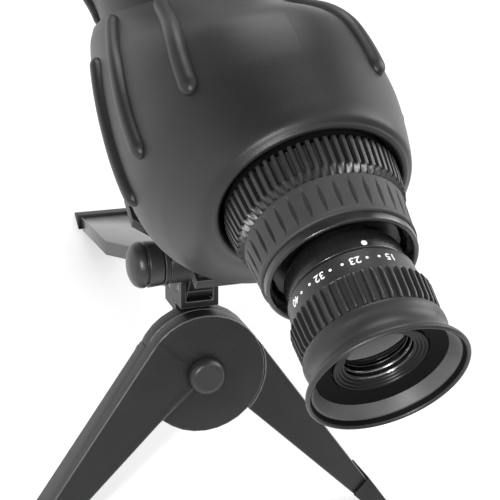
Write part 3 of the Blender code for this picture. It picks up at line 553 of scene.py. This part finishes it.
def makeIndexCollar():
    d = dial
    outline = ((28.1, 15.3, 0.3), (28.4, 15.75, 0.3), (33.6, 15.6, 0.5), (34.9, 14.9, 0.4),
               (34.9, 13.1, 0), (28.1, 13.1, 0))
    collar = turned("indexCollar", outline, eyeLine, "glossRim", sides=160)
    settle(collar, "eyepiece", "ring_plastic", "index_collar")
    mark = turned("indexMark", ((0, 0, 0), (0, d["indexDot"], 0), (0.12, d["indexDot"] - 0.1, 0), (0.12, 0, 0)),
                  place(0, d["indexStation"], 15.68), "dialPaint", upward, 32, False)
    settle(mark, "eyepiece")


def makeEyeLens():
    outline = [(6.3, 12.0, 0.1)]
    for i in range(3):                                    # fine steps down to the lens
        radius = 11.6 - 0.85 * i
        station = 6.1 + 0.4 * i
        outline += [(station, radius, 0.12), (station, radius - 0.3, 0.12), (6.6 + 0.4 * i, radius - 0.55, 0.1)]
    outline += [(7.5, 8.7, 0.1), (7.5, 12.0, 0)]
    ring = turned("lensRing", outline, eyeLine, "lensRingBlack", sides=160)
    settle(ring, "eyepiece", "ring_plastic", "eye_lens_ring")
    for i, (station, radius) in enumerate(((7.6, 9.2), (9.0, 8.8))):      # bright turned bevels
        bevel = ((station, radius, 0.08), (station, radius - 0.22, 0.08), (station + 0.5, radius - 0.42, 0.08),
                 (station + 0.5, radius, 0))
        settle(turned("lensBevel%d" % i, bevel, eyeLine, "polishedEdge", sides=128), "eyepiece", "ring_plastic")
    steps = 14
    rise = 0.7
    face = [(10.0 - rise * (1 - (i / steps) ** 2), 8.35 * i / steps, 0) for i in range(steps + 1)]
    face += [(10.1, 10.1, 0.1), (11.7, 10.1, 0.1)]
    face += [(11.8 + 0.5 * (1 - (i / steps) ** 2), 9.6 * i / steps, 0) for i in range(steps, -1, -1)]
    lens = turned("eyeLens", face, eyeLine, "shadeTintedGlass", sides=96, closed=False)
    settle(lens, "eyepiece", "optical_glass", "eye_lens")


# focus ring

focusRing = {"teeth": 64, "toothDepth": 1.5, "slits": 34, "slitDepth": 0.9, "slitWidth": 0.17, "slitHalf": 4.1,
             "slitMiddle": 41.6}


def makeToothRing():
    f = focusRing
    rear, front = 47.95, 58.0

    def toothed(u, station, radius):
        if radius < 20.6:
            return u, station, radius
        away = abs(u - 0.5) * 2
        cut = easeStep(away, 0.42, 0.60)
        behind = 1 - easeStep(station, rear + 0.9, rear + 1.9)
        if behind > 0.02:                                 # pointed ends of the ribs
            back = 1.1 * away * behind * (1 if station > rear + 0.2 else 0)
            return u, station + back, radius - 0.3 * away * behind
        return u, station, radius - f["toothDepth"] * cut + 0.06 * (1 - away)

    outer = [(49.6 + (front - 49.6) * i / 6, 22.9 + 1.1 * i / 6, 0) for i in range(7)]
    outline = [(rear, 20.7, 0), (48.3, 21.7, 0), (48.9, 22.3, 0), *outer, (front, 19.3, 0), (rear, 19.3, 0)]
    columns = [0, 0.12, 0.20, 0.25, 0.29, 0.36, 0.43, 0.5, 0.57, 0.64, 0.71, 0.75, 0.80, 0.88, 1]
    ring = sectorRing("focusTeeth", outline, f["teeth"], columns, toothed, "ringPlastic")
    settle(ring, "focus", "ring_plastic", "tooth_ring")


def makeSlittedGrip():
    f = focusRing

    def slitted(u, station, radius):
        reach = (station - f["slitMiddle"]) / f["slitHalf"]
        if radius < 20.2 or abs(reach) >= 1:
            return u, station, radius
        half = f["slitWidth"] * (1 - reach * reach) ** 0.8 + 0.002
        bow = 0.03 * (1 - reach * reach)
        side = (u - 0.5) / 0.2                            # the middle fifths follow the slit's edges
        if abs(side) > 1:
            edge = 0.5 + half * (1 if side > 0 else -1) + bow
            share = (abs(u - 0.5) - 0.2) / 0.3
            return edge + ((1 if side > 0 else 0) - edge) * share, station, radius
        sink = easeStep(side, -1.0, -0.62) * (1 - easeStep(side, -0.3, 1.0))
        return 0.5 + half * side + bow, station, radius - f["slitDepth"] * sink * (1 - reach * reach) ** 0.5

    rear, front = 35.75, 47.6
    stations = [37.3 + (46.1 - 37.3) * i / 12 for i in range(13)]
    slope = (21.75 - 20.55) / (front - rear)
    outer = [(s, 20.55 + slope * (s - rear), 0) for s in stations]
    outline = [(rear, 20.0, 0.3), (rear + 0.15, 20.75, 0.5), (rear + 1.1, 20.8, 0.5), *outer,
               (front - 0.4, 21.75, 0.4), (front, 21.0, 0.3), (front, 19.3, 0), (rear, 19.3, 0)]
    columns = [0, 0.1, 0.2, 0.3, 0.34, 0.376, 0.41, 0.45, 0.5, 0.56, 0.63, 0.7, 0.8, 0.9, 1]
    ring = sectorRing("gripSlits", outline, f["slits"], columns, slitted, "softRubber")
    settle(ring, "focus", "soft_rubber", "focus_grip")


def makeFocusCup():
    outline = ((33.0, 19.5, 0.35), (33.3, 20.1, 0.4), (35.45, 20.25, 0.3), (35.45, 18.95, 0),
               (58.0, 18.95, 0), (58.0, 17.7, 0), (41.0, 17.7, 0), (40.4, 17.2, 0.2),
               (39.6, 17.7, 0.2), (36.0, 17.9, 0.4), (34.6, 18.3, 0.2), (33.4, 18.9, 0.3))
    settle(turned("focusCup", outline, eyeLine, "glossRim", sides=192), "focus", "ring_plastic", "focus_ring")


# body

shell = {
    # station, half width, top, bottom, forward lean of each section
    "sections": ((59.2, 27.2, 27.0, 27.6, 0.00), (60.4, 28.9, 28.3, 31.4, 0.00),
                 (63.0, 30.6, 29.0, 37.0, 0.00), (68.0, 33.0, 29.4, 44.6, 0.00),
                 (75.0, 35.8, 29.9, 53.2, 0.00), (86.0, 38.8, 30.5, 62.0, 0.04),
                 (100.0, 40.0, 30.2, 67.0, 0.12), (117.0, 40.2, 28.6, 68.6, 0.30),
                 (134.0, 39.4, 24.0, 67.6, 0.50), (149.0, 37.8, 17.0, 65.4, 0.68),
                 (161.0, 35.8, 10.4, 62.2, 0.80), (167.2, 33.7, 7.7, 59.7, 0.85)),
    "wall": 2.2, "seamAngle": -1.5, "seamHeight": 0.05,
}


def blendRows(rows, s):
    # smooth curve through the section table at a station
    last = len(rows) - 1
    i = max(j for j in range(last) if rows[j][0] <= s or j == 0)
    p0, p1, p2, p3 = rows[max(i - 1, 0)], rows[i], rows[i + 1], rows[min(i + 2, last)]
    t = min(1.0, max(0.0, (s - p1[0]) / (p2[0] - p1[0])))
    found = []
    for k in range(1, 5):
        m1 = (p2[k] - p0[k]) / (p2[0] - p0[0]) * (p2[0] - p1[0]) if i else p2[k] - p1[k]
        m2 = (p3[k] - p1[k]) / (p3[0] - p1[0]) * (p2[0] - p1[0]) if i + 2 <= last else p2[k] - p1[k]
        found.append((2 * t ** 3 - 3 * t * t + 1) * p1[k] + (t ** 3 - 2 * t * t + t) * m1
                     + (3 * t * t - 2 * t ** 3) * p2[k] + (t ** 3 - t * t) * m2)
    return found


def shellPoint(station, angle, out=0.0):
    half, top, bottom, lean = blendRows(shell["sections"], station)
    tall = (top + bottom) / 2 + out
    rise = tall * cos(angle)
    return place((half + out) * sin(angle), station - lean * rise, (top - bottom) / 2 + rise)


def makeRearShell():
    first, last = shell["sections"][0][0], shell["sections"][-1][0]
    seam = radians(shell["seamAngle"])
    angles = [tau * i / 160 for i in range(160)]
    angles = sorted(set(a for a in angles if abs((a - seam + pi) % tau - pi) > 0.024)
                    | {(seam + off) % tau for off in (-0.016, -0.006, 0.0, 0.006, 0.016)})
    stations = [first + (last - first) * (i / 90) ** 1.35 for i in range(91)]
    form = bmesh.new()
    rows = []
    mouth = ((64.0, 24.9), (60.2, 24.9), (58.9, 25.15), (58.35, 25.7), (58.3, 26.3), (58.6, 26.85))
    for station, radius in mouth:                         # rolled edge of the opening
        rows.append([form.verts.new(place(radius * sin(a), station, radius * cos(a))) for a in angles])
    for station in stations:
        ring = []
        for a in angles:
            near = abs((a - seam + pi) % tau - pi) < 0.004
            lift = shell["seamHeight"] if near and station > 61 else 0.0
            ring.append(form.verts.new(shellPoint(station, a, lift)))
        rows.append(ring)
    for inward in (0.25, 0.8, 1.5, shell["wall"]):          # rolled front edge
        onward = {0.25: 0.35, 0.8: 0.6, 1.5: 0.45}.get(inward, 0.0)
        rows.append([form.verts.new(shellPoint(last, a, -inward) + alongY * onward * mm) for a in angles])
    for station in (160.0, 140.0, 115.0, 90.0, 75.0, 68.0):
        rows.append([form.verts.new(shellPoint(station, a, -shell["wall"] - 0.05)) for a in angles])
    count = len(angles)
    for row, following in zip(rows, rows[1:] + rows[:1]):
        for i in range(count):
            k = (i + 1) % count
            form.faces.new((row[i], row[k], following[k], following[i]))
    body = newPiece("rearShell", form, "armour", 50.0)
    settle(body, "scope", "armour_rubber", "rear_armour")
    return body


frontShell = {"waist": 30.05, "bell": 34.0, "taperStart": 188.0, "bellStart": 212.0}


def makeFrontShell():
    f = frontShell
    outline = (
        (128.0, f["waist"], 0), (176.0, f["waist"], 0), (f["taperStart"], f["waist"] + 0.1, 6),
        (f["bellStart"], f["bell"], 8), (236.2, f["bell"], 0.5), (236.9, f["bell"] - 0.7, 0.2),
        (237.7, f["bell"] - 0.7, 0.2), (238.4, f["bell"], 0.5), (244.6, f["bell"], 0.8),
        (245.6, f["bell"] - 0.8, 0.3), (245.6, 32.1, 0), (f["bellStart"], 32.1, 3),
        (f["taperStart"], 28.15, 3), (128.0, 28.1, 0))
    body = turned("frontShell", outline, glassLine, "armour", sides=192)
    settle(body, "scope", "armour_rubber", "front_armour")
    rim = ((246.0, 33.6, 0.3), (246.3, 34.15, 0.3), (249.2, 34.15, 0.6), (250.0, 33.2, 0.5), (250.0, 30.0, 0.5),
           (249.2, 29.5, 0.4), (248.2, 29.9, 0.2), (247.4, 29.5, 0.2), (246.8, 29.9, 0.2), (246.0, 30.2, 0))
    settle(turned("frontRim", rim, glassLine, "ringPlastic", sides=192), "scope", "ring_plastic", "front_bezel")
    return body


ribs = {
    # rear and front station, rear and front angle on the shell; the front ones are on the barrel
    "rear": ((86, 166, -46.5, -37.0), (87, 165, -79.5, -66.0), (87, 147, -104.0, -87.0),
             (82, 163, 35.0, 27.0), (87, 165, 74.0, 62.0), (87, 147, 100.0, 84.0)),
    "front": ((181, 232, -112.0, -112.0), (181, 232, -66.0, -66.0),
              (181, 232, 66.0, 66.0), (181, 232, 112.0, 112.0)),
    "halfWidth": 2.85, "height": 2.4,
}


def ribStrip(name, path, halfWidth, sideOf):
    # a flat capsule along a path; "rise" holds how far each point stands off the shell
    across = 12
    base = 4
    form = bmesh.new()
    layer = form.verts.layers.float.new("rise")
    rows = []
    total = sum((b - a).length for a, b in zip(path, path[1:]))
    gone = 0.0
    for i, point in enumerate(path):
        gone += (point - path[i - 1]).length if i else 0.0
        ends = min(gone, total - gone) / (halfWidth * mm * 1.35)
        full = sqrt(max(0.0, 1 - (1 - min(1.0, ends)) ** 2))
        side = sideOf(i)
        row = []
        for j in range(across + 1):
            v = -cos(pi * j / across)
            vert = form.verts.new(point + side * v * halfWidth * mm * max(full, 0.02))
            vert[layer] = max(0.0, 1 - abs(v) ** 2.6) ** 0.62 * full
            row.append(vert)
        for j in range(1, base):
            v = 1 - 2 * j / base
            vert = form.verts.new(point + side * v * halfWidth * mm * max(full, 0.02))
            vert[layer] = -0.3
            row.append(vert)
        rows.append(row)
    size = len(rows[0])
    for row, following in zip(rows, rows[1:]):
        for j in range(size):
            k = (j + 1) % size
            form.faces.new((row[j], row[k], following[k], following[j]))
    form.faces.new(rows[0])
    form.faces.new(rows[-1])
    return newPiece(name, form, "armour", 60.0, False)      # its two sides part only once it is raised


def makeRibs(rearBody, frontBody):
    r = ribs
    steps = 46
    ease = [0.5 - 0.5 * cos(pi * i / steps) for i in range(steps + 1)]
    for index, (rear, front, startAngle, endAngle) in enumerate(r["rear"]):
        angleAt = [radians(startAngle + (endAngle - startAngle) * t) for t in ease]
        stations = [rear + (front - rear) * t for t in ease]
        path = [shellPoint(s, a) for s, a in zip(stations, angleAt)]
        sides = [(shellPoint(s, a + 0.01) - shellPoint(s, a - 0.01)).normalized()
                 for s, a in zip(stations, angleAt)]
        rib = ribStrip("shellRib%d" % index, path, r["halfWidth"], lambda i: sides[i])
        runTree(rib, raisedOnShell, {"Shell": rearBody, "Height": r["height"] * mm,
                                     "Material": paint["armour"]}, 60.0)
        settle(rib, "scope", "armour_rubber")
    for index, (rear, front, angle, _) in enumerate(r["front"]):
        a = radians(angle)
        radius = 38.0                    # clear of the bell, so the outer wall is the nearest
        path = [glassLine + Vector((radius * sin(a), rear + (front - rear) * t, radius * cos(a))) * mm
                for t in ease]
        side = Vector((cos(a), 0, -sin(a)))
        rib = ribStrip("barrelRib%d" % index, path, r["halfWidth"], lambda i: side)
        runTree(rib, raisedOnShell, {"Shell": frontBody, "Height": r["height"] * 0.9 * mm,
                                     "Material": paint["armour"]}, 60.0)
        settle(rib, "scope", "armour_rubber")


def makeObjective():
    steps = 16
    lensRadius = 25.8
    face = [(228.9 - 2.5 * (i / steps) ** 2, lensRadius * i / steps, 0) for i in range(steps + 1)]
    back = [(221.8 + 1.2 * (i / steps) ** 2, lensRadius * i / steps, 0) for i in range(steps, -1, -1)]
    lens = turned("frontLens", face + back, glassLine, "objectiveGlass", sides=128, closed=False)
    settle(lens, "scope", "optical_glass", "objective_crown")
    outline = [(227.3, lensRadius, 0), (227.3, 24.1, 0.2), (228.4, 23.9, 0.2), (229.9, 24.4, 0.3),
               (229.9, lensRadius, 0)]
    retainer = turned("lensRetainer", outline, glassLine, "ringPlastic", sides=160)
    settle(retainer, "scope", "ring_plastic", "objective_retainer")
    hood = [(230.4, 29.6, 0)]
    for i in range(9):                                     # light-trap grooves inside the hood
        start = 231.0 + 1.6 * i
        hood += [(start, 28.6, 0.15), (start + 0.4, 28.6, 0.15), (start + 0.9, 29.4, 0.1)]
    hood += [(245.4, 29.4, 0), (245.4, 29.85, 0), (230.4, 29.85, 0)]
    settle(turned("hoodBaffle", hood, glassLine, "baffleBlack", sides=128), "scope", "housing_plastic")


# mount, head and tripod

rounding = {"leg": 0.4, "hub": 0.5, "plate": 0.6, "foot": 0.6, "rubberFoot": 0.5}


def makeHead():
    foot = softened("mount_foot", "mountFoot", 0.9, "armour", "armour")
    settle(foot, "scope", "armour_rubber", "mount_foot")
    plate = softened("head_plate", "headPlate", rounding["plate"], "legPlastic")
    settle(plate, "scope", "leg_plastic", "head_plate")
    pad = softened("plate_pad", "platePad", 0.25, "footRubber", "footRubber")
    settle(pad, "scope", "foot_rubber", "plate_pad")
    settle(softened("neck", "neckLink", 0.7, "legPlastic"), "neck", "leg_plastic", "neck")
    settle(softened("tilt_washer", "tiltWasher", 0.3, "legPlastic"), "neck", "barrel_metal", "tilt_washer")
    low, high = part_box("tilt_knob")
    start = high.x / mm                                     # the knob's inner face, in millimetres
    reach = (high.x - low.x) / mm
    outline = [(start, 0, 0), (start, 7.5, 0.3), (start - 0.5, 7.9, 0.3), (start - 5.3, 8.2, 0.4),
               (start - 5.6, 7.3, 0.15), (start - 6.0, 7.3, 0.15), (start - 6.2, 8.2, 0.5),
               (start - 8.0, 8.1, 1.4), (start - 9.8, 7.1, 2.0), (start - reach + 0.5, 4.6, 3.0),
               (start - reach, 2.2, 1.2), (start - reach, 0, 0)]
    knob = turned("tiltKnob", outline, tiltLine - alongX * tiltLine.x, "ringPlastic", alongX, 128, False)
    settle(knob, "tilt_knob", "leg_plastic", "tilt_knob")
    low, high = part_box("camera_screw")
    centre = (low + high) / 2
    knurls = {"count": 36, "radius": 7.8, "lift": 0.8}
    outline = ((0, 0, 0), (0, 0.62, 0.2), (5.4, 0.62, 0.2), (5.4, 0, 0))
    start = Vector((centre.x, centre.y, low.z + knurls["lift"] * mm)) + alongX * knurls["radius"] * mm
    rib = turned("screwKnurls", outline, start, "steel", upward, 6, False)
    runTree(rib, repeatAround, {"Count": knurls["count"], "Step": tau / knurls["count"], "Skip": 0,
                                "Centre": Vector((centre.x, centre.y, 0)), "Axis": upward,
                                "Material": paint["steel"]})
    settle(rib, "camera_screw", "steel")


def makeTripod():
    e = rounding
    fullRounding = {"clamp": False, "weld": 0.00006, "sliver": 0.3}     # the legs have thin steps
    for side in ("left", "right"):
        body = side + "_leg"
        leg = softened(body, side + "Leg", e["leg"], "legPlastic", **fullRounding)
        settle(leg, body, "leg_plastic", body)
        foot = softened(side + "_foot", side + "Foot", e["rubberFoot"], "footRubber", "footRubber")
        settle(foot, body, "foot_rubber", side + "_foot")
    leg = softened("rear_leg", "rearLeg", e["leg"], "rearLegLitPlastic", **fullRounding)
    settle(leg, "rear_leg", "leg_plastic", "rear_leg")
    foot = softened("rear_foot", "rearFoot", e["foot"], "footRubber", "footRubber")
    settle(foot, "rear_leg", "foot_rubber", "rear_foot")
    settle(softened("hub_block", "hubBlock", e["hub"], "legPlastic"), "tripod", "leg_plastic", "hub_block")
    joint = next(j for j in frame["joints"] if j["name"] == "left_leg_fold")
    axis = Vector(joint["axis"]).normalized()
    outline = [(4.3, 0, 0), (4.3, 4.6, 0.6), (4.0, 5.7, 1.0), (2.6, 6.75, 0.6), (0.35, 6.9, 0.2),
               (0.35, 2.9, 0), (-20.5, 2.9, 0), (-20.5, 0, 0)]
    rivet = turned("hubRivet", outline, Vector(joint["pos_m"]), "ringPlastic", axis, 96, False)
    settle(rivet, "tripod", "leg_plastic", "hub_rivet")


makeEyecup()
makeZoomRing()
makeDial()
makeIndexCollar()
makeEyeLens()
print("eyepiece done")
makeToothRing()
makeSlittedGrip()
makeFocusCup()
print("focus ring done")
rearBody = makeRearShell()
frontBody = makeFrontShell()
makeRibs(rearBody, frontBody)
makeObjective()
print("body done")
makeHead()
makeTripod()
print("mount and tripod done")


# finishes for the parts carried over as they are

carried = {
    "anodised": ("zoom_sleeve", "eyepiece_barrel", "zoom_cell_rear", "zoom_cell_front", "focus_thread",
                 "prism_plate"),
    "baffleBlack": ("field_stop", "prism_housing", "objective_tube", "objective_cell", "objective_spacer"),
    "shadeTintedGlass": ("zoom_lens_rear", "zoom_lens_front", "objective_flint", "front_prism", "rear_prism"),
    "steel": ("camera_screw", "prism_clip_front", "prism_clip_rear", "tilt_bolt", "tilt_nut",
              "rivet_washer", "neck_pin", "rear_pin"),
    "brassInsert": ("thread_insert",),
}
for finish, nodes in carried.items():
    for node in nodes:
        for holder in frame["nodes"][node].material_slots:
            holder.material = paint[finish]


# floor, light and camera

studio = {"floorTint": (0.70, 0.70, 0.70), "worldTint": (1.0, 1.0, 1.0), "horizon": 0.80, "ceiling": 0.16,
          "sun": 1.15, "floorGlow": 0.34}
lamps = {
    # spot, width, height, power
    "backBox": ((0.1, 0.9, 0.75), 0.65, 0.3, 4.0),
    "leftBox": ((-0.8, 0.1, 0.35), 0.4, 0.8, 0.8),
    "rightBox": ((0.7, 0.15, 0.5), 0.4, 0.6, 3.4),
    "rearBox": ((-0.35, -0.85, 0.75), 0.4, 0.22, 2.6),
    "lampByCamera": ((-0.30, -0.34, 0.52), 0.05, 0.05, 2.0),
}
view = {"lens": 82.3, "sensor": 36, "shiftX": 0.002, "shiftY": 0.0015, "across": (0.9442, -0.2787, 0.1756),
        "ahead": (0.3144, 0.6036, -0.7327), "fromEyecup": (-0.11128, -0.12792, 0.2084)}


def areaLight(name, spot, target, width, height, power):
    lamp = bpy.data.lights.new(name, "AREA")
    lamp.shape = "RECTANGLE"
    lamp.size = width
    lamp.size_y = height
    lamp.energy = power
    holder = bpy.data.objects.new(name, lamp)
    holder.location = spot
    holder.rotation_euler = (Vector(target) - Vector(spot)).to_track_quat("-Z", "Y").to_euler()
    bpy.context.scene.collection.objects.link(holder)


def makeStudio():
    s = studio
    floorMesh = bpy.data.meshes.new("floor")
    form = bmesh.new()
    bmesh.ops.create_grid(form, x_segments=8, y_segments=8, size=6.0)
    bmesh.ops.translate(form, vec=(0, 0, -0.0002), verts=form.verts)
    form.to_mesh(floorMesh)
    form.free()
    cover = bpy.data.materials.new("floorCover")
    cover.use_nodes = True
    shader = cover.node_tree.nodes["Principled BSDF"]
    shader.inputs["Base Color"].default_value = (*s["floorTint"], 1)
    shader.inputs["Roughness"].default_value = 0.75
    shader.inputs["Specular IOR Level"].default_value = 0.2
    shader.inputs["Emission Color"].default_value = (1, 1, 1, 1)
    shader.inputs["Emission Strength"].default_value = s["floorGlow"]
    floorMesh.materials.append(cover)
    floor = bpy.data.objects.new("floor", floorMesh)
    bpy.context.scene.collection.objects.link(floor)
    world = bpy.data.worlds.new("studio")
    world.use_nodes = True
    sky = world.node_tree                                   # a bright band low down and a dim ceiling
    heading = sky.nodes.new("ShaderNodeTexCoord").outputs["Generated"]
    split = sky.nodes.new("ShaderNodeSeparateXYZ")
    sky.links.new(heading, split.inputs[0])
    strength = mapRange(sky, split.outputs["Z"], s["horizon"], s["ceiling"], 0.02, 0.42)
    sky.links.new(strength, sky.nodes["Background"].inputs["Strength"])
    sky.nodes["Background"].inputs["Color"].default_value = (*s["worldTint"], 1)
    bpy.context.scene.world = world
    middleOfScope = (0, 0, 0.16)
    sun = bpy.data.lights.new("skyPanel", "SUN")
    sun.energy = s["sun"]
    sun.angle = radians(75)
    holder = bpy.data.objects.new("skyPanel", sun)
    holder.rotation_euler = (radians(12), radians(16), 0)
    bpy.context.scene.collection.objects.link(holder)
    for name, (spot, width, height, power) in lamps.items():
        areaLight(name, spot, middleOfScope, width, height, power)


def makeCamera():
    lens = bpy.data.cameras.new("view")
    lens.lens = view["lens"]
    lens.sensor_width = view["sensor"]
    lens.clip_start = 0.01
    lens.shift_x = view["shiftX"]
    lens.shift_y = view["shiftY"]
    camera = bpy.data.objects.new("view", lens)
    across = Vector(view["across"]).normalized()
    ahead = Vector(view["ahead"]).normalized()
    up = across.cross(ahead).normalized()
    turn = Matrix((across, up, -ahead)).transposed().to_4x4()
    x, y, z = view["fromEyecup"]
    camera.matrix_world = Matrix.Translation(Vector((x, rimY + y, eyeZ + z))) @ turn
    bpy.context.scene.collection.objects.link(camera)
    bpy.context.scene.camera = camera


makeStudio()
makeCamera()
bpy.context.scene.view_settings.view_transform = "Standard"
print("studio done")
